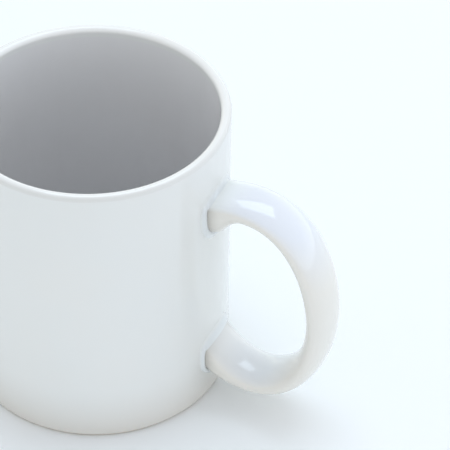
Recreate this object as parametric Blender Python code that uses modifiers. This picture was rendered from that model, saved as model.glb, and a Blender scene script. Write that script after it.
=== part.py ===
# A straight-sided ceramic mug with one C-shaped handle. The fired clay cup and handle, the beads of
# luting slip that join them, and the coats of glaze over them are separate solids.
# Metres, +Z up, the handle along +X, and the origin under the middle of the whole mug.
import math

import bmesh
import bpy
from mathutils import Vector

# Driving dimensions. They are those of the finished, glazed mug.
OUTER_RADIUS = 0.041
HEIGHT = 0.096
HANDLE_REACH = 0.0797
LIP_RADIUS = 0.0016
INNER_RADIUS_AT_FLOOR = 0.0371
FLOOR_HEIGHT = 0.0065
FLOOR_CORNER_RADIUS = 0.009
FOOT_CORNER_RADIUS = 0.001
RECESS_RADIUS = 0.0339
RECESS_DEPTH = 0.002
RECESS_CORNER_RADIUS = 0.001
RECESS_GLAZE_START = 0.0008
GLAZE_START = 0.0016
LINER_SEAM_DROP = 0.003

GLAZE = 0.0004
GAP = 0.0003
COAT = GLAZE + GAP

# The handle leaves the wall at each root, in degrees above or below level, and its outermost point
# lies between them. The pulls are the lengths of the curve's control arms.
UPPER_ROOT_HEIGHT = 0.0758
UPPER_ROOT_RISE = 20
UPPER_ROOT_PULL = 0.0293
OUTERMOST_HEIGHT = 0.042
OUTERMOST_PULL_UP = 0.013
OUTERMOST_PULL_DOWN = 0.027
LOWER_ROOT_HEIGHT = 0.0177
LOWER_ROOT_RISE = -46
LOWER_ROOT_PULL = 0.022
HALF_THICKNESS = 0.004
HALF_WIDTH = 0.0085
ROOT_HALF_WIDTH = 0.0072
ROOT_SQUARENESS = 0.8
SQUARE_STRETCH = 0.35
UPPER_FLARE, UPPER_FLARE_LENGTH = 0.0055, 0.0105
LOWER_FLARE, LOWER_FLARE_LENGTH = 0.0028, 0.016
FLARE_POWER = 1.25
BEAD_RADIUS = 0.0022

# Resolution
CUP_SIDES = 48
HANDLE_SIDES = 16
ARM_STATIONS = 17
ROOT_CROWDING = 1.4
BEAD_STEPS = 4

CUP_AXIS_X = (OUTER_RADIUS - HANDLE_REACH) / 2
INNER_RADIUS_AT_LIP = OUTER_RADIUS - 2 * LIP_RADIUS
WHITE_GLAZE = (0.86, 0.88, 0.89)
BARE_CLAY = (0.80, 0.76, 0.70)
SLIP = (0.84, 0.83, 0.80)


def clear_scene():
    for thing in list(bpy.data.objects):
        bpy.data.objects.remove(thing)


def make_collection(name, helpers=False):
    collection = bpy.data.collections.new(name)
    collection.hide_render = helpers
    bpy.context.scene.collection.children.link(collection)
    return collection


def make_material(name, colour, roughness):
    material = bpy.data.materials.new(name)
    material.use_nodes = True
    shader = material.node_tree.nodes["Principled BSDF"]
    shader.inputs["Base Color"].default_value = (*colour, 1)
    shader.inputs["Roughness"].default_value = roughness
    shader.inputs["Metallic"].default_value = 0
    return material


def add_object(name, mesh, collection, axis, material=None):
    """Places a mesh drawn round the cup's axis, and shades it smooth."""
    made = bpy.data.objects.new(name, mesh)
    collection.objects.link(made)
    made.parent = axis
    if material:
        mesh.materials.append(material)
    mesh.shade_smooth()
    mesh.set_sharp_from_angle(angle=math.radians(40))
    return made


# Turned pieces: profiles are (radius, height) points, which run from the inside of the floor up the
# inner wall, over the lip, down the outside and under the base.


def arc(centre, radius, start, end, steps):
    angles = [math.radians(start + (end - start) * i / steps) for i in range(steps + 1)]
    return [(centre[0] + radius * math.cos(a), centre[1] + radius * math.sin(a)) for a in angles]


def inner_profile(depth):
    """The inside, at a depth under the glaze, from the floor's centre to just under the lip."""
    corner = FLOOR_CORNER_RADIUS + depth
    wall = INNER_RADIUS_AT_FLOOR + depth
    floor = FLOOR_HEIGHT - depth
    centre = (wall - corner, floor + corner)
    return [(0, floor), *arc(centre, corner, -90, 0, 5)]


def lip_profile(depth):
    """The rounded lip at a depth under the glaze, from its inner side to its outer side."""
    centre = (OUTER_RADIUS - LIP_RADIUS, HEIGHT - LIP_RADIUS)
    return arc(centre, LIP_RADIUS - depth, 180, 0, 6)


def inner_wall_radius(height):
    """The inner wall leans out a little from the floor's corner to the lip."""
    low = FLOOR_HEIGHT + FLOOR_CORNER_RADIUS
    share = (height - low) / (HEIGHT - LIP_RADIUS - low)
    return INNER_RADIUS_AT_FLOOR + share * (INNER_RADIUS_AT_LIP - INNER_RADIUS_AT_FLOOR)


def recess_profile(depth, start):
    """The hollow under the base, from the inner edge of the foot ring to the axis."""
    corner = RECESS_CORNER_RADIUS + depth
    wall = RECESS_RADIUS + depth
    ceiling = RECESS_DEPTH + depth
    centre = (wall - corner, ceiling - corner)
    return [(wall, start), *arc(centre, corner, 0, 90, 3), (0, ceiling)]


def turned(name, profile, collection, axis, material, thickness=0):
    """A profile turned round the cup's axis. A thickness makes it a coat that grows into the clay."""
    mesh = bpy.data.meshes.new(name)
    edges = [(i, i + 1) for i in range(len(profile) - 1)]
    mesh.from_pydata([(radius, 0, height) for radius, height in profile], edges, [])
    made = add_object(name, mesh, collection, axis, material)
    screw = made.modifiers.new("Turn", "SCREW")
    screw.axis = "Z"
    screw.steps = screw.render_steps = CUP_SIDES
    screw.use_merge_vertices = True
    screw.merge_threshold = 0.00001
    screw.use_smooth_shade = True
    if thickness:
        coat = made.modifiers.new("Coat", "SOLIDIFY")
        coat.thickness = thickness
        coat.offset = -1
        coat.use_even_offset = True
    return made


def cup_body(collection, axis, clay):
    corner = (OUTER_RADIUS - COAT - FOOT_CORNER_RADIUS, FOOT_CORNER_RADIUS)
    foot = arc(corner, FOOT_CORNER_RADIUS, 0, -90, 3)
    profile = [*inner_profile(COAT), *lip_profile(COAT), *foot, *recess_profile(COAT, 0)]
    return turned("cup_body", profile, collection, axis, clay)


def liner_glaze(collection, axis, glaze):
    seam = HEIGHT - LINER_SEAM_DROP - GAP
    profile = [*inner_profile(0), (inner_wall_radius(seam), seam)]
    return turned("liner_glaze", profile, collection, axis, glaze, GLAZE)


def outer_glaze(collection, axis, glaze, cutters):
    """The outside coat laps over the lip and stops short of the foot, with a hole at each root."""
    seam = HEIGHT - LINER_SEAM_DROP
    profile = [(inner_wall_radius(seam), seam), *lip_profile(0), (OUTER_RADIUS, GLAZE_START)]
    made = turned("outer_glaze", profile, collection, axis, glaze, GLAZE)
    for cutter in cutters:
        hole = made.modifiers.new("Root hole", "BOOLEAN")
        hole.operation = "DIFFERENCE"
        hole.solver = "EXACT"
        hole.object = cutter
    return made


def base_glaze(collection, axis, glaze):
    profile = recess_profile(0, RECESS_GLAZE_START)
    return turned("base_glaze", profile, collection, axis, glaze, GLAZE)


# The handle: a rounded strap swept along two cubic curves that meet at its outermost point. The
# distance along it runs from 0 at the upper root to 2 at the lower root.


def handle_curves():
    upper_root = Vector((OUTER_RADIUS, 0, UPPER_ROOT_HEIGHT))
    lower_root = Vector((OUTER_RADIUS, 0, LOWER_ROOT_HEIGHT))
    outermost = Vector((HANDLE_REACH - HALF_THICKNESS, 0, OUTERMOST_HEIGHT))
    up, rise, fall = Vector((0, 0, 1)), math.radians(UPPER_ROOT_RISE), math.radians(LOWER_ROOT_RISE)
    leave_upper = Vector((math.cos(rise), 0, math.sin(rise))) * UPPER_ROOT_PULL
    leave_lower = Vector((math.cos(fall), 0, math.sin(fall))) * LOWER_ROOT_PULL
    above, below = outermost + OUTERMOST_PULL_UP * up, outermost - OUTERMOST_PULL_DOWN * up
    return (
        (upper_root, upper_root + leave_upper, above, outermost),
        (outermost, below, lower_root + leave_lower, lower_root),
    )


def handle_point(along):
    """The centre line's point and direction. Past a root it runs straight on into the wall."""
    inside = min(max(along, 0), 2)
    a, b, c, d = handle_curves()[0 if inside < 1 else 1]
    t = inside if inside < 1 else inside - 1
    point = a * (1 - t) ** 3 + b * 3 * t * (1 - t) ** 2 + c * 3 * t * t * (1 - t) + d * t**3
    way = (b - a) * (1 - t) ** 2 + (c - b) * 2 * t * (1 - t) + (d - c) * t * t
    way.normalize()
    return point + way * (along - inside) * HEIGHT, way


def power(value, exponent):
    return math.copysign(abs(value) ** exponent, value)


def handle_surface(along, angle, inset=0):
    """A point of the strap's surface and the direction out of it. Angle 0 faces away from the hand gap."""
    centre, way = handle_point(along)
    out, across = Vector((-way.z, 0, way.x)), Vector((0, 1, 0))
    inside = min(max(along, 0), 2)
    reach = centre.x - OUTER_RADIUS
    thickness = HALF_THICKNESS
    if along < 1 and math.cos(angle) < 0:
        thickness += UPPER_FLARE * min(max(1 - reach / UPPER_FLARE_LENGTH, 0), 1) ** FLARE_POWER
    if along >= 1 and math.cos(angle) > 0:
        thickness += LOWER_FLARE * min(max(1 - reach / LOWER_FLARE_LENGTH, 0), 1) ** FLARE_POWER
    width = ROOT_HALF_WIDTH + (HALF_WIDTH - ROOT_HALF_WIDTH) * math.sin(math.pi * inside / 2)
    from_root = min(inside, 2 - inside)
    square = 2 + ROOT_SQUARENESS * max(1 - from_root / SQUARE_STRETCH, 0) ** 2
    side, edge = power(math.cos(angle), 2 / square), power(math.sin(angle), 2 / square)
    point = centre + out * (thickness - inset) * side + across * (width - inset) * edge
    outward = out * math.cos(angle) / thickness + across * math.sin(angle) / width
    return point, outward.normalized()


def from_axis(point):
    return math.hypot(point.x, point.y)


def root_along(angle, radius, upper, inset=0):
    """Where one line of the strap's surface crosses a cylinder round the cup's axis, by halving."""
    inner, outer = (-0.3, 0.5) if upper else (2.3, 1.5)
    for _ in range(40):
        middle = (inner + outer) / 2
        if from_axis(handle_surface(middle, angle, inset)[0]) < radius:
            inner = middle
        else:
            outer = middle
    return middle


def section_angles():
    return [2 * math.pi * i / HANDLE_SIDES for i in range(HANDLE_SIDES)]


def root_ring(radius, upper, inset=0, spread=0):
    """The strap's outline on a cylinder round the cup's axis, spread along that cylinder."""
    ring = []
    for angle in section_angles():
        along = root_along(angle, radius, upper, inset)
        point, outward = handle_surface(along, angle, inset)
        radial = Vector((point.x, point.y, 0)).normalized()
        sideways = (outward - radial * outward.dot(radial)).normalized()
        ring.append(moved_to_radius(point + sideways * spread, radius))
    return ring


def moved_to_radius(point, radius):
    scale = radius / from_axis(point)
    return Vector((point.x * scale, point.y * scale, point.z))


def loft(name, rings, collection, axis, material=None, ends="capped"):
    """Joins rings of the same number of points. The ends are capped, or joined to each other."""
    bm = bmesh.new()
    loops = [[bm.verts.new(point) for point in ring] for ring in rings]
    pairs = list(zip(loops, loops[1:]))
    if ends == "joined":
        pairs.append((loops[-1], loops[0]))
    for first, second in pairs:
        for i in range(len(first)):
            bm.faces.new((first[i - 1], first[i], second[i], second[i - 1]))
    if ends == "capped":
        caps = [bm.faces.new(loops[0]), bm.faces.new(loops[-1])]
        poked = bmesh.ops.poke(bm, faces=caps)
        for centre, ring in zip(poked["verts"], (rings[0], rings[-1])):
            centre.co = moved_to_radius(centre.co, from_axis(ring[0]))
    bmesh.ops.recalc_face_normals(bm, faces=bm.faces)
    mesh = bpy.data.meshes.new(name)
    bm.to_mesh(mesh)
    bm.free()
    return add_object(name, mesh, collection, axis, material)


def strap_rings(radius, inset):
    """Rings from one root out to the handle's outermost point and in to the other, closer together
    near the roots. Each line of the surface starts and ends at the given radius."""
    shares = [(i / ARM_STATIONS) ** ROOT_CROWDING for i in range(ARM_STATIONS + 1)]
    rings = [[] for _ in range(2 * ARM_STATIONS + 1)]
    for angle in section_angles():
        start = root_along(angle, radius, True, inset)
        end = root_along(angle, radius, False, inset)
        stops = [start + (1 - start) * share for share in shares]
        stops += [end + (1 - end) * share for share in reversed(shares[:-1])]
        for along, ring in zip(stops, rings):
            ring.append(handle_surface(along, angle, inset)[0])
    return rings


def handle_core(collection, axis, clay):
    return loft("handle", strap_rings(OUTER_RADIUS - GLAZE, COAT), collection, axis, clay)


def handle_glaze(collection, axis, glaze):
    """A sleeve of glaze between the two beads, out along its outer side and back along its inner."""
    start = OUTER_RADIUS + BEAD_RADIUS + GAP
    rings = [*strap_rings(start, 0), *reversed(strap_rings(start, GLAZE))]
    return loft("handle_glaze", rings, collection, axis, glaze, "joined")


def luting_bead(name, upper, collection, axis, slip):
    """A ring of slip round a root: hollow outside, from the wall up to the strap, and open to the core."""
    rings = [root_ring(OUTER_RADIUS, upper, 0, BEAD_RADIUS)]
    rings.insert(0, [moved_to_radius(point, OUTER_RADIUS - GLAZE) for point in rings[0]])
    for i in range(1, BEAD_STEPS + 1):
        turn = math.pi / 2 * i / BEAD_STEPS
        lift = BEAD_RADIUS * (1 - math.cos(turn))
        spread = BEAD_RADIUS * (1 - math.sin(turn))
        rings.append(root_ring(OUTER_RADIUS + lift, upper, 0, spread))
    for radius in (OUTER_RADIUS + BEAD_RADIUS, OUTER_RADIUS - GLAZE):
        rings.append(root_ring(radius, upper, GLAZE))
    return loft(name, rings, collection, axis, slip, "joined")


def root_cutter(name, upper, collection, axis):
    """The bead's outline with its gap, as a block that passes through the outer glaze."""
    outline = root_ring(OUTER_RADIUS, upper, 0, BEAD_RADIUS + GAP)
    reach = 3 * BEAD_RADIUS
    rings = [[moved_to_radius(p, OUTER_RADIUS + side * reach) for p in outline] for side in (-1, 1)]
    cutter = loft(name, rings, collection, axis)
    cutter.hide_render = True
    cutter.display_type = "WIRE"
    return cutter


def build_mug():
    clear_scene()
    mug = make_collection("ceramic_mug")
    cutters = make_collection("cutters", helpers=True)
    axis = bpy.data.objects.new("cup_axis", None)
    axis.location.x = CUP_AXIS_X
    mug.objects.link(axis)
    clay = make_material("clay", BARE_CLAY, 0.6)
    slip = make_material("luting_slip", SLIP, 0.2)
    liner = make_material("liner_glaze", WHITE_GLAZE, 0.12)
    outside = make_material("outer_glaze", WHITE_GLAZE, 0.1)

    cup_body(mug, axis, clay)
    liner_glaze(mug, axis, liner)
    upper_cutter = root_cutter("upper_root_cutter", True, cutters, axis)
    lower_cutter = root_cutter("lower_root_cutter", False, cutters, axis)
    outer_glaze(mug, axis, outside, (upper_cutter, lower_cutter))
    base_glaze(mug, axis, outside)
    handle_core(mug, axis, clay)
    handle_glaze(mug, axis, outside)
    luting_bead("upper_luting_bead", True, mug, axis, slip)
    luting_bead("lower_luting_bead", False, mug, axis, slip)


build_mug()
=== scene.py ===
import math

import bmesh
import bpy
from mathutils import Matrix, Vector


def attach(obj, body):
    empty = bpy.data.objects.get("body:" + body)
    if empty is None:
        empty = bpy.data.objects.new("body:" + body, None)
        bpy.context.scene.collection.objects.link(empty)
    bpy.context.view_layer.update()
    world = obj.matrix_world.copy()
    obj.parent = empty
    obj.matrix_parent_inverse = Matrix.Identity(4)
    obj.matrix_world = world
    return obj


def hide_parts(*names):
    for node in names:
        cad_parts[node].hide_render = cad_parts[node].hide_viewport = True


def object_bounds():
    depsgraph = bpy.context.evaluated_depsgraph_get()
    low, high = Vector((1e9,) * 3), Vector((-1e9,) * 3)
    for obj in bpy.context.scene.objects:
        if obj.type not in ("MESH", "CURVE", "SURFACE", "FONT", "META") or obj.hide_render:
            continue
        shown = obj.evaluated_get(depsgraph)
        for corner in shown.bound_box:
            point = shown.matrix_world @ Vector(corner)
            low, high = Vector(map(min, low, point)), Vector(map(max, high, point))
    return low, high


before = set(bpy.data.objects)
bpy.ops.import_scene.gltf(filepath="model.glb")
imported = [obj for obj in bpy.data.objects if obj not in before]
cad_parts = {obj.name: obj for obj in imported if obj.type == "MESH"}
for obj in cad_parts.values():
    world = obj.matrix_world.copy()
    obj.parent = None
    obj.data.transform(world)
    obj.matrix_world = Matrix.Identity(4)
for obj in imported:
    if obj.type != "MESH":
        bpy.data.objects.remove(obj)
cadBox = [list(corner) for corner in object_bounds()]
mm = 0.001
mergeWithin = 0.001 * mm
sharpAngle = math.radians(38)

# the cup stands round its own axis, which lies left of the middle of the whole mug
cup = {
    "axisX": cadBox[0][0] + 41 * mm,
    "radius": 41 * mm,
    "height": 96 * mm,
    "lipRadius": 1.6 * mm,
    "lipSteps": 16,
    "innerRadius": 37.1 * mm,
    "floorHeight": 6.5 * mm,
    "floorCorner": 9 * mm,
    "floorSteps": 24,
    "seamHeight": 93 * mm,       # where the outer coat, over the lip, meets the liner
    "linerBack": 39.3 * mm,      # the hidden backs of both coats
    "coatBack": 39.6 * mm,
    "glazeEnd": 0.9 * mm,        # the outer coat stops short of the floor
    "glazeRoll": 0.3 * mm,
    "rollSteps": 6,
    "turns": 160,
}

foot = {
    "outer": 40.65 * mm,
    "inner": 34.6 * mm,
    "top": 2.4 * mm,
    "outerCorner": 0.5 * mm,
    "outerSteps": 8,
    "innerCorner": 0.5 * mm,
    "innerSteps": 5,
    "tuck": 0.1 * mm,            # how far the outer coat goes in behind the ring's outside
    "cover": 0.5 * mm,           # how far above the ring the back of the outer coat starts
    "recessDepth": 2.0 * mm,
    "recessCorner": 1.2 * mm,
    "recessSteps": 8,
    "recessBack": 4.2 * mm,
    "recessCoat": 0.5 * mm,
    "recessGap": 0.1 * mm,       # between the base coat and the ring's inside
    "recessGlazeEnd": 0.6 * mm,
    "recessRoll": 0.2 * mm,
    "recessRollSteps": 3,
    "linerGap": 0.2 * mm,        # between the backs of the base coat and of the liner
}

handle = {
    "reach": 79.7 * mm,
    "halfThickness": 4.0 * mm,
    "halfWidth": 8.5 * mm,
    "rootHalfWidth": (7.2 * mm, 7.8 * mm),     # at the upper root, at the lower root
    "upperRoot": (75.8 * mm, 20, 29.3 * mm),   # height, rise in degrees, length of the control arm
    "lowerRoot": (17.7 * mm, -46, 22 * mm),
    "outermost": (42 * mm, 13 * mm, 27 * mm),  # height, control arms above and below
    "squareness": 0.8,                         # added to the section's exponent at the roots
    "squareStretch": 0.35,                     # how far along the strap that fades out
    "upperFlare": (5.5 * mm, 10.5 * mm),       # extra thickness on the underside, and its reach
    "lowerFlare": (2.8 * mm, 16 * mm),
    "flarePower": 1.25,
    "buried": 1.2 * mm,                        # how far the ends lie behind the wall's face
    "upperSearch": (-0.3, 0.5),                # from inside the wall to outside it, along the strap
    "lowerSearch": (2.3, 1.5),
    "searchSteps": 40,
    "sides": 96,
    "stations": 120,
}

bead = {
    "width": (2.2 * mm, 1.7 * mm),  # at the upper root, at the lower root
    "height": 0.9 * mm,
    "crest": 0.42,                  # share of the width from the strap to the top of the roll
    "dip": 0.28,                    # share of the height that the roll loses before the strap
    "fillet": 1.6 * mm,             # how far the slip climbs the strap where it faces up
    "filletFrom": 0.3,              # the upward part of the outward direction where the fillet starts
    "filletTo": 0.85,
    "steps": 16,
    "buried": 1 * mm,
}


def cupPoint(radius, height):
    return Vector((cup["axisX"] + radius, 0, height))


def newPiece(name, bm, material, slot, *nodes):
    bmesh.ops.remove_doubles(bm, verts=bm.verts, dist=mergeWithin)
    bmesh.ops.recalc_face_normals(bm, faces=bm.faces)
    mesh = bpy.data.meshes.new(name)
    bm.to_mesh(mesh)
    bm.free()
    mesh.materials.append(material)
    mesh.shade_smooth()
    mesh.set_sharp_from_angle(angle=sharpAngle)
    piece = bpy.data.objects.new(name, mesh)
    bpy.context.scene.collection.objects.link(piece)
    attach(piece, "root")
    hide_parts(*nodes)
    print("made", name, len(mesh.polygons), "faces")


def turnedPiece(name, outline, closed, material, slot, *nodes):
    # outline: (radius, height, size of its rounded corner, steps in that corner)
    bm = bmesh.new()
    corners = [bm.verts.new(cupPoint(radius, height)) for radius, height, _, _ in outline]
    pairs = list(zip(corners, corners[1:]))
    if closed:
        pairs.append((corners[-1], corners[0]))
    for pair in pairs:
        bm.edges.new(pair)
    for corner, (_, _, size, steps) in zip(corners, outline):
        if size:
            bmesh.ops.bevel(bm, geom=[corner], offset=size, offset_type="OFFSET", affect="VERTICES",
                            segments=steps, profile=0.5, material=-1)
    bmesh.ops.spin(bm, geom=bm.verts[:] + bm.edges[:], cent=cupPoint(0, 0), axis=(0, 0, 1),
                   angle=math.tau, steps=cup["turns"], use_merge=True)
    newPiece(name, bm, material, slot, *nodes)


class Wire:
    # one value in a node tree, which takes part in sums
    def __init__(self, tree, socket):
        self.tree = tree
        self.socket = socket

    def sum(self, operation, *values):
        node = self.tree.nodes.new("ShaderNodeMath")
        node.operation = operation
        for slot, value in zip(node.inputs, values):
            if isinstance(value, Wire):
                self.tree.links.new(value.socket, slot)
            else:
                slot.default_value = value
        return Wire(self.tree, node.outputs[0])

    def __add__(self, other):
        return self.sum("ADD", self, other)

    def __sub__(self, other):
        return self.sum("SUBTRACT", self, other)

    def __rsub__(self, other):
        return self.sum("SUBTRACT", other, self)

    def __mul__(self, other):
        return self.sum("MULTIPLY", self, other)

    def __truediv__(self, other):
        return self.sum("DIVIDE", self, other)

    def __pow__(self, other):
        return self.sum("POWER", self, other)

    def __abs__(self):
        return self.sum("ABSOLUTE", self)

    def __neg__(self):
        return self.sum("SUBTRACT", 0, self)

    def below(self, limit):
        return self.sum("LESS_THAN", self, limit)

    def over(self, limit=0):
        return self.sum("MAXIMUM", self, limit)

    def under(self, limit=1):
        return self.sum("MINIMUM", self, limit)


class Recipe:
    # a new material with its Principled shader, or the tree of something else; and ways to add nodes to it
    def __init__(self, name, tree=None, **constants):
        if tree is None:
            self.material = bpy.data.materials.new(name)
            self.material.use_nodes = True
            tree = self.material.node_tree
            self.shader = tree.nodes["Principled BSDF"]
            for socket, value in constants.items():
                self.shader.inputs[socket.replace("_", " ")].default_value = value
        self.tree = tree
        places = self.add("ShaderNodeTexCoord").outputs
        self.place, self.way = places["Object"], places["Generated"]

    def axes(self, vector):
        parts = self.add("ShaderNodeSeparateXYZ", Vector=vector).outputs
        return [Wire(self.tree, part) for part in parts]

    def vector(self, operation, *values):
        node = self.add("ShaderNodeVectorMath", {"operation": operation})
        for socket, value in zip(node.inputs, values):
            self.feed(socket, value)
        return node.outputs[0]

    def add(self, kind, settings=None, **inputs):
        node = self.tree.nodes.new(kind)
        for key, value in (settings or {}).items():
            setattr(node, key, value)
        for key, value in inputs.items():
            self.feed(node.inputs[key.replace("_", " ")], value)
        return node

    def feed(self, socket, value):
        if isinstance(value, Wire):
            value = value.socket
        if isinstance(value, bpy.types.NodeSocket):
            self.tree.links.new(value, socket)
        else:
            socket.default_value = value

    def noise(self, scale, detail, roughness=0.5):
        node = self.add("ShaderNodeTexNoise", Vector=self.place,
                        Scale=scale, Detail=detail, Roughness=roughness)
        return Wire(self.tree, node.outputs["Fac"])

    def mix(self, factor, first, second):
        node = self.add("ShaderNodeMix", {"data_type": "RGBA"})
        self.feed(node.inputs[0], factor)
        self.feed(node.inputs[6], first)
        self.feed(node.inputs[7], second)
        return node.outputs[2]

    def specks(self, scale, size, share):
        # round dots of up to this radius in metres, in a share of the cells
        cells = self.add("ShaderNodeTexVoronoi", {"voronoi_dimensions": "3D"},
                         Vector=self.place, Scale=scale)
        pick = self.add("ShaderNodeSeparateColor", Color=cells.outputs["Color"])
        near = Wire(self.tree, cells.outputs["Distance"])
        chosen = Wire(self.tree, pick.outputs[0]).below(share)
        return near.below(Wire(self.tree, pick.outputs[1]) * (size * scale)) * chosen

    def bump(self, height):
        # the height is in metres
        node = self.add("ShaderNodeBump", Strength=1.0, Distance=1.0, Height=height)
        self.feed(self.shader.inputs["Normal"], node.outputs["Normal"])


# a noise is given as its scale, its detail and, for some, its roughness
glazeLook = {
    "cool": (0.795, 0.815, 0.808, 1),
    "warm": (0.820, 0.815, 0.788, 1),
    # painted shade: the liner's colours are the outer glaze made a little darker for the shaded inside of
    # the cup
    "linerShadedCool": (0.795, 0.800, 0.805, 1),
    "linerShadedWarm": (0.810, 0.800, 0.792, 1),
    "index": 1.62,
    "cloud": (32.0, 3.0),
    "fine": (140.0, 2.0),
    "fineShare": 0.2,
    "speck": (0.16, 0.09, 0.05, 1),
    "speckCells": (150.0, 0.22 * mm, 0.08),  # cells to a metre, largest dot, share of cells with one
    "speckStrength": 0.45,
    "roughness": 0.08,
    "roughNoise": (60.0, 4.0),
    "roughSpread": 0.04,
    "peel": (420.0, 1.0),
    "peelHeight": 0.006 * mm,
    "wave": (26.0, 1.0),
    "waveHeight": 0.06 * mm,
}

# colours that the glaze is multiplied by, which paint light and shade (on the lip's outer edge partly the
# glaze running thin), how far from the foot, roots or wall they fade out, and the powers by which they fade
tint = {
    # painted shade: the wall darker and warmer towards the floor, which shades it
    "foot": (0.87, 0.83, 0.79, 1),
    "footShadeReach": 20 * mm,
    "footShadeFade": 1.5,
    # painted highlight round the lip's crown, on its inner side
    "crown": (1.07, 1.05, 1.04, 1),
    "crownRing": (38.7 * mm, 95.8 * mm, 1.9 * mm),     # radius, height and reach of the lip's inner side
    "shoulder": (0.90, 0.885, 0.875, 1),
    "shoulderRing": (40.6 * mm, 95.3 * mm, 0.9 * mm),  # and of its outer edge: painted shade where the rounding turns from the light, partly also the glaze running thin there
    "ringFade": 0.5,
    # painted shade, darker deeper down inside the cup
    "deepShade": (0.97, 0.965, 0.97, 1),
    # painted shade in the creases beside and under the handle's roots
    "root": (0.62, 0.61, 0.59, 1),
    "rootShadeReach": 5 * mm,
    "rootShadeFade": 2,
    # painted sky light on faces of the strap that look up, less blue lower down
    "skyLight": (0.98, 1.00, 1.08, 1),
    "lowSkyLight": (0.96, 0.97, 1.00, 1),
    # painted highlight on top of the strap by the upper root
    "neck": (1.04, 1.05, 1.03, 1),
    "neckReach": 11 * mm,
    "neckHeight": (2, 0.8),     # slope with height and what it has to pass, so that the lower root has none
    # painted warm floor bounce on faces of the strap that look down
    "floorBounce": (1.02, 0.985, 0.945, 1),
    "facing": (2, 0.85, 1),     # slopes with lift and height, and what they have to pass together
    # painted bluish reflection on the luting bead
    "bead": (0.96, 0.98, 1.01, 1),
    "beadRise": 0.5 * mm,
}


def glazeMaterial(name, cool, warm, shade):
    look = glazeLook
    paint = Recipe(name, IOR=look["index"])
    clouds = paint.noise(*look["cloud"]) * (1 - look["fineShare"])
    clouds = clouds + paint.noise(*look["fine"]) * look["fineShare"]
    tone = shade(paint, paint.mix(clouds, cool, warm))
    specks = paint.specks(*look["speckCells"]) * look["speckStrength"]
    paint.feed(paint.shader.inputs["Base Color"], paint.mix(specks, tone, look["speck"]))
    smoothest = look["roughness"] - look["roughSpread"] / 2
    rough = paint.noise(*look["roughNoise"]) * look["roughSpread"] + smoothest
    paint.feed(paint.shader.inputs["Roughness"], rough)
    paint.bump(paint.noise(*look["wave"]) * look["waveHeight"]
               + paint.noise(*look["peel"]) * look["peelHeight"])
    return paint.material


def tinted(paint, tone, share, first, second=(1, 1, 1, 1)):
    # the tone multiplied by the first colour where share is 1 and by the second where it is 0
    return paint.vector("MULTIPLY", tone, paint.mix(share, second, first))


def fromWall(paint):
    x, y, _ = paint.axes(paint.place)
    x = x - cup["axisX"]
    return (x * x + y * y) ** 0.5 - cup["radius"]


def wallPaintedLightAndShade(paint, tone):
    height = paint.axes(paint.place)[2]
    # painted shade towards the foot
    tone = tinted(paint, tone, (1 - height / tint["footShadeReach"]).over() ** tint["footShadeFade"], tint["foot"])
    # a painted highlight on the lip's crown, and painted shade on its outer edge, partly the glaze running
    # thin there
    for name in ("crown", "shoulder"):
        ringRadius, ringHeight, reach = tint[name + "Ring"]
        off = fromWall(paint) + (cup["radius"] - ringRadius)
        rise = height - ringHeight
        near = (1 - (off * off + rise * rise) ** 0.5 / reach).over()
        tone = tinted(paint, tone, near ** tint["ringFade"], tint[name])
    return tone


def insidePaintedShade(paint, tone):
    height = paint.axes(paint.place)[2]
    # painted shade, darker towards the cup's floor
    return tinted(paint, tone, (1 - height / cup["height"]).over(), tint["deepShade"])


def beadPaintedReflection(paint, tone):
    # painted bluish reflection, growing as the bead rises from the wall
    return tinted(paint, tone, (fromWall(paint) / tint["beadRise"]).over().under(), tint["bead"])


def strapPaintedLightAndShade(paint, tone):
    # painted light and shade: bluer painted sky light where the strap faces up, warmer painted floor bounce
    # where it faces down, a painted highlight on top of the upper root, painted shade beside and under both
    # roots
    lift = Wire(paint.tree, paint.add("ShaderNodeAttribute", {"attribute_name": "lift"}).outputs["Fac"])
    height = (paint.axes(paint.place)[2] / cup["height"]).under()
    liftSlope, heightSlope, threshold = tint["facing"]
    facing = (lift * liftSlope + height * heightSlope - threshold).over().under()
    reach = fromWall(paint)
    neckSlope, neckThreshold = tint["neckHeight"]
    # painted highlight on top of the upper root, fading out along the strap and lower down
    neck = (1 - reach / tint["neckReach"]).over() * (height * neckSlope - neckThreshold).over()
    skyLight = paint.mix(neck, paint.mix(height, tint["lowSkyLight"], tint["skyLight"]), tint["neck"])
    tone = tinted(paint, tone, facing, skyLight, tint["floorBounce"])
    # painted shade beside and under the roots, where the strap does not face up
    root = (1 - reach / tint["rootShadeReach"]).over() ** tint["rootShadeFade"]
    return tinted(paint, tone, root * (1 - facing), tint["root"])


clayLook = {
    "light": (0.72, 0.66, 0.57, 1),
    "dark": (0.56, 0.49, 0.40, 1),
    "index": 1.45,
    "stain": (90.0, 4.0),
    "stainShare": 0.7,
    "grain": (2600.0, 3.0, 0.65),
    "grainShare": 0.3,
    "grainHeight": 0.03 * mm,
    "roughness": 0.7,
    "roughSpread": 0.2,
}


def clayMaterial():
    look = clayLook
    paint = Recipe("bareClay", IOR=look["index"])
    grain = paint.noise(*look["grain"])
    stain = paint.noise(*look["stain"])
    share = stain * look["stainShare"] + grain * look["grainShare"]
    paint.feed(paint.shader.inputs["Base Color"], paint.mix(share, look["light"], look["dark"]))
    paint.feed(paint.shader.inputs["Roughness"], grain * look["roughSpread"] + look["roughness"])
    paint.bump(grain * look["grainHeight"])
    return paint.material


def innerWall(height):
    low = cup["floorHeight"] + cup["floorCorner"]
    share = (height - low) / (cup["height"] - cup["lipRadius"] - low)
    return cup["innerRadius"] + share * (cup["radius"] - 2 * cup["lipRadius"] - cup["innerRadius"])


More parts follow.
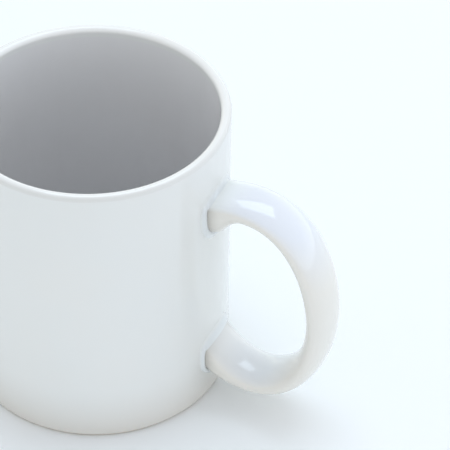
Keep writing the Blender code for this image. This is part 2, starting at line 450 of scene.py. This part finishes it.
def outerCoat(material):
    seam, top = cup["seamHeight"], cup["height"]
    inner = innerWall(seam)
    lip, roll = cup["lipRadius"], cup["glazeRoll"]
    outline = [
        (inner, seam, 0, 0),
        (innerWall(top - lip), top, lip, cup["lipSteps"]),
        (cup["radius"], top, lip, cup["lipSteps"]),
        (cup["radius"], cup["glazeEnd"] - roll, roll, cup["rollSteps"]),
        (foot["outer"] - foot["tuck"], cup["glazeEnd"] - roll, 0, 0),
        (cup["coatBack"], foot["top"] + foot["cover"], 0, 0),
        (cup["coatBack"], seam, 0, 0),
    ]
    turnedPiece("outerGlaze", outline, True, material, "outer_glaze", "outer_glaze")


def linerCoat(material):
    seam, floor = cup["seamHeight"], cup["floorHeight"]
    under = foot["recessBack"] + foot["linerGap"]
    outline = [
        (0, floor, 0, 0),
        (cup["innerRadius"], floor, cup["floorCorner"], cup["floorSteps"]),
        (innerWall(seam), seam, 0, 0),
        (cup["linerBack"], seam, 0, 0),
        (cup["linerBack"], under, 0, 0),
        (0, under, 0, 0),
    ]
    turnedPiece("linerGlaze", outline, False, material, "liner_glaze", "liner_glaze")


def footRing(material):
    outline = [
        (foot["outer"], foot["top"], 0, 0),
        (foot["outer"], 0, foot["outerCorner"], foot["outerSteps"]),
        (foot["inner"], 0, foot["innerCorner"], foot["innerSteps"]),
        (foot["inner"], foot["top"], 0, 0),
    ]
    turnedPiece("footRing", outline, True, material, "clay", "cup_body")


def baseCoat(material):
    edge = foot["inner"] - foot["recessGap"]
    face = edge - foot["recessCoat"]
    end, roll, steps = foot["recessGlazeEnd"], foot["recessRoll"], foot["recessRollSteps"]
    outline = [
        (0, foot["recessDepth"], 0, 0),
        (face, foot["recessDepth"], foot["recessCorner"], foot["recessSteps"]),
        (face, end, roll, steps),
        (edge, end, roll, steps),
        (edge, foot["recessBack"], 0, 0),
        (0, foot["recessBack"], 0, 0),
    ]
    turnedPiece("baseGlaze", outline, False, material, "outer_glaze", "base_glaze")


def wayAt(degrees):
    rise = math.radians(degrees)
    return Vector((math.cos(rise), 0, math.sin(rise)))


# the strap is swept along two cubic curves that meet at its outermost point;
# the distance along it is 0 at the upper root, 1 at the outermost point and 2 at the lower root
def handleCurves():
    upperHeight, upperRise, upperPull = handle["upperRoot"]
    lowerHeight, lowerRise, lowerPull = handle["lowerRoot"]
    middleHeight, pullUp, pullDown = handle["outermost"]
    upper = Vector((cup["radius"], 0, upperHeight))
    lower = Vector((cup["radius"], 0, lowerHeight))
    middle = Vector((handle["reach"] - handle["halfThickness"], 0, middleHeight))
    up = Vector((0, 0, 1))
    return ((upper, upper + wayAt(upperRise) * upperPull, middle + up * pullUp, middle),
            (middle, middle - up * pullDown, lower + wayAt(lowerRise) * lowerPull, lower))


def centreLine(along):
    # past either root it runs on straight, into the wall
    inside = min(max(along, 0), 2)
    a, b, c, d = handleCurves()[0 if inside < 1 else 1]
    t = inside if inside < 1 else inside - 1
    point = a * (1 - t) ** 3 + b * 3 * t * (1 - t) ** 2 + c * 3 * t * t * (1 - t) + d * t ** 3
    way = (b - a) * (1 - t) ** 2 + (c - b) * 2 * t * (1 - t) + (d - c) * t * t
    way.normalize()
    return point + way * (along - inside) * cup["height"], way


def signedPower(value, power):
    return math.copysign(abs(value) ** power, value)


def flareAt(reach, flare):
    size, length = flare
    return size * min(max(1 - reach / length, 0), 1) ** handle["flarePower"]


def strapPoint(along, angle):
    # angle 0 faces away from the hand gap
    centre, way = centreLine(along)
    out, across = Vector((-way.z, 0, way.x)), Vector((0, 1, 0))
    inside = min(max(along, 0), 2)
    reach = centre.x - cup["radius"]
    rootWidth = handle["rootHalfWidth"][0 if inside < 1 else 1]
    width = rootWidth + (handle["halfWidth"] - rootWidth) * math.sin(math.pi * inside / 2)
    square = 2 + handle["squareness"] * max(1 - min(inside, 2 - inside) / handle["squareStretch"], 0) ** 2
    thickness = handle["halfThickness"]
    if along < 1 and math.cos(angle) < 0:
        thickness += flareAt(reach, handle["upperFlare"])
    if along >= 1 and math.cos(angle) > 0:
        thickness += flareAt(reach, handle["lowerFlare"])
    side, edge = signedPower(math.cos(angle), 2 / square), signedPower(math.sin(angle), 2 / square)
    point = centre + out * thickness * side + across * width * edge
    outward = out * math.cos(angle) / thickness + across * math.sin(angle) / width
    return point, outward.normalized()


def fromAxis(point):
    return math.hypot(point.x, point.y)


def rootAlong(angle, radius, upper):
    # where the strap's surface at this angle is this far from the cup's axis
    inner, outer = handle["upperSearch"] if upper else handle["lowerSearch"]
    for _ in range(handle["searchSteps"]):
        middle = (inner + outer) / 2
        if fromAxis(strapPoint(middle, angle)[0]) < radius:
            inner = middle
        else:
            outer = middle
    return middle


def sweptRings(bm, rings):
    # the first ring is a circle; each next one is its edges extruded and put in place;
    # a ring holds points and, for the glaze, how far the surface faces up at each
    lift = bm.verts.layers.float.new("lift")
    shift = Vector((cup["axisX"], 0, 0))
    verts = bmesh.ops.create_circle(bm, segments=len(rings[0]), radius=1)["verts"]
    edges = bm.edges[:]
    for i, ring in enumerate(rings):
        if i > 0:
            grown = bmesh.ops.extrude_edge_only(bm, edges=edges)["geom"]
            newVerts = {vert for vert in grown if isinstance(vert, bmesh.types.BMVert)}
            edges = [edge for edge in grown if isinstance(edge, bmesh.types.BMEdge)]
            ends = [[edge.other_vert(vert) for edge in vert.link_edges] for vert in verts]
            verts = [next(end for end in choices if end in newVerts) for choices in ends]
        for vert, (point, up) in zip(verts, ring):
            vert.co = point + shift
            vert[lift] = up


def handleStrap(material):
    angles = [math.tau * i / handle["sides"] for i in range(handle["sides"])]
    rings = [[] for _ in range(handle["stations"] + 1)]
    inset = cup["radius"] - handle["buried"]
    for angle in angles:
        start, end = rootAlong(angle, inset, True), rootAlong(angle, inset, False)
        for i, ring in enumerate(rings):
            share = i / handle["stations"]
            if share <= 0.5:
                along = start + (1 - start) * share * 2
            else:
                along = 1 + (end - 1) * (share * 2 - 1)
            point, outward = strapPoint(along, angle)
            ring.append((point, outward.z))
    bm = bmesh.new()
    sweptRings(bm, rings)
    bmesh.ops.holes_fill(bm, edges=bm.edges[:], sides=0)
    newPiece("handleGlaze", bm, material, "outer_glaze", "handle_glaze", "handle")


def beadHeight(share, faceUp):
    # share runs from 1 at the outer edge to 0 at the strap: a low roll with a crease beside the strap,
    # and where it faces up a hollow fillet in which the glaze has pooled
    crest = bead["crest"]
    if share > crest:
        roll = 1 - ((share - crest) / (1 - crest)) ** 2
    else:
        roll = 1 - bead["dip"] * ((crest - share) / crest) ** 2
    fillet = 1 - math.sqrt(1 - (1 - share) ** 2)
    blend = min(max((faceUp - bead["filletFrom"]) / (bead["filletTo"] - bead["filletFrom"]), 0), 1)
    blend = blend * blend * (3 - 2 * blend)
    return roll * bead["height"] * (1 - blend) + fillet * bead["fillet"] * blend


def beadRing(upper, share, rise=None, spread=None):
    # a loop round the strap, this share of the bead's width out along the wall;
    # rise and spread replace the bead's own height and the way out along the wall
    width = bead["width"][0 if upper else 1]
    ring = []
    for i in range(handle["sides"]):
        angle = math.tau * i / handle["sides"]
        outward = strapPoint(rootAlong(angle, cup["radius"], upper), angle)[1]
        radius = cup["radius"] + (beadHeight(share, outward.z) if rise is None else rise)
        point, outward = strapPoint(rootAlong(angle, radius, upper), angle)
        radial = Vector((point.x, point.y, 0)).normalized()
        sideways = (outward - radial * outward.dot(radial)).normalized()
        point = point + sideways * (width * share if spread is None else spread)
        scale = radius / fromAxis(point)
        ring.append((Vector((point.x * scale, point.y * scale, point.z)), outward.z))
    return ring


def lutingBead(name, upper, material, node):
    under = -bead["buried"]
    rings = [beadRing(upper, 1, under)]
    for i in range(bead["steps"] + 1):
        rings.append(beadRing(upper, (1 + math.cos(math.pi * i / bead["steps"])) / 2))
    rings.append(beadRing(upper, 0, 0, under))
    rings.append(beadRing(upper, 0, under, under))
    bm = bmesh.new()
    sweptRings(bm, rings)
    bmesh.ops.bridge_loops(bm, edges=[edge for edge in bm.edges if edge.is_boundary])
    newPiece(name, bm, material, "luting_slip", node)


stage = {
    "floorColour": (0.91, 0.93, 0.935, 1),
    "floorRoughness": 0.6,
    "floorHalf": 4,
    "floorDrop": 0.05 * mm,
    "overhead": (0.71, 0.715, 0.745),
    "horizon": (0.42, 0.47, 0.45),       # added all round, low down
    "rightWall": (0.40, 0.45, 0.60),     # and more of it on each side
    "frontWall": (0.12, 0.12, 0.12),
    "backWall": (0.40, 0.40, 0.25),
    "wallFade": 2,
    "gamma": 0.87,
}


def paleFloor():
    bm = bmesh.new()
    bmesh.ops.create_grid(bm, x_segments=1, y_segments=1, size=stage["floorHalf"])
    bmesh.ops.translate(bm, verts=bm.verts, vec=(0, 0, -stage["floorDrop"]))
    mesh = bpy.data.meshes.new("floor")
    bm.to_mesh(mesh)
    bm.free()
    floor = bpy.data.objects.new("floor", mesh)
    bpy.context.scene.collection.objects.link(floor)
    paint = Recipe("floorPaint", Base_Color=stage["floorColour"], Roughness=stage["floorRoughness"])
    mesh.materials.append(paint.material)
    print("laid the floor")


view = {
    "azimuth": 24.5,
    "elevation": 41.64,
    "roll": 0.895,
    "distance": 674.75 * mm,
    "lens": 177.34,
    "sensor": 36,
    "aimAside": 39.45 * mm,
    "aimHeight": 50.75 * mm,
}


def addCamera():
    turn, rise = math.radians(view["azimuth"]), math.radians(view["elevation"])
    back = Vector((math.sin(turn) * math.cos(rise), -math.cos(turn) * math.cos(rise), math.sin(rise)))
    aside = view["aimAside"]
    aim = Vector((cup["axisX"] + aside * math.cos(turn), aside * math.sin(turn), view["aimHeight"]))
    data = bpy.data.cameras.new("camera")
    data.lens = view["lens"]
    data.sensor_width = view["sensor"]
    camera = bpy.data.objects.new("camera", data)
    bpy.context.scene.collection.objects.link(camera)
    camera.location = aim + back * view["distance"]
    roll = Matrix.Rotation(math.radians(view["roll"]), 3, "Z")
    camera.rotation_euler = (back.to_track_quat("Z", "Y").to_matrix() @ roll).to_euler()
    bpy.context.scene.camera = camera
    print("placed the camera")


softbox = {
    "place": (0.144, 0.25, 1.04),  # along the camera's right, away from it, and up
    "size": (0.83, 0.60),
    "power": 3.6,
    "colour": (0.74, 0.88, 1),
}


def studioLight():
    turn = Matrix.Rotation(math.radians(view["azimuth"]), 4, "Z")
    light = bpy.data.lights.new("softbox", "AREA")
    light.shape = "RECTANGLE"
    light.size, light.size_y = softbox["size"]
    light.energy = softbox["power"]
    light.color = softbox["colour"]
    lamp = bpy.data.objects.new("softbox", light)
    bpy.context.scene.collection.objects.link(lamp)
    lamp.location = turn @ Vector(softbox["place"])
    lamp.rotation_euler = turn.to_euler()  # level, facing down

    # a white room, brighter towards the walls
    world = bpy.data.worlds.new("studio")
    bpy.context.scene.world = world
    world.use_nodes = True
    room = Recipe("studioRoom", world.node_tree)
    way = room.add("ShaderNodeMapping", Vector=room.way, Rotation=(0, 0, -math.radians(view["azimuth"])))
    right, away, up = room.axes(way.outputs["Vector"])
    low = (1 - abs(up)) ** stage["wallFade"]
    glow = stage["overhead"]
    for share, wall in ((low, "horizon"), (low * right.over(), "rightWall"),
                        (low * (-away).over(), "frontWall"), (low * away.over(), "backWall")):
        glow = room.vector("MULTIPLY_ADD", stage[wall], share, glow)
    room.feed(world.node_tree.nodes["Background"].inputs["Color"], glow)
    bpy.context.scene.view_settings.view_transform = "Standard"
    bpy.context.scene.view_settings.gamma = stage["gamma"]
    print("lit the studio")


cool, warm = glazeLook["cool"], glazeLook["warm"]
glaze = glazeMaterial("outerGlaze", cool, warm, wallPaintedLightAndShade)
liner = glazeMaterial("linerGlaze", glazeLook["linerShadedCool"], glazeLook["linerShadedWarm"], insidePaintedShade)
strapGlaze = glazeMaterial("strapGlaze", cool, warm, strapPaintedLightAndShade)
slip = glazeMaterial("slipGlaze", cool, warm, beadPaintedReflection)
clay = clayMaterial()

outerCoat(glaze)
linerCoat(liner)
footRing(clay)
baseCoat(glaze)
handleStrap(strapGlaze)
lutingBead("upperBead", True, slip, "upper_luting_bead")
lutingBead("lowerBead", False, slip, "lower_luting_bead")
paleFloor()
studioLight()
addCamera()
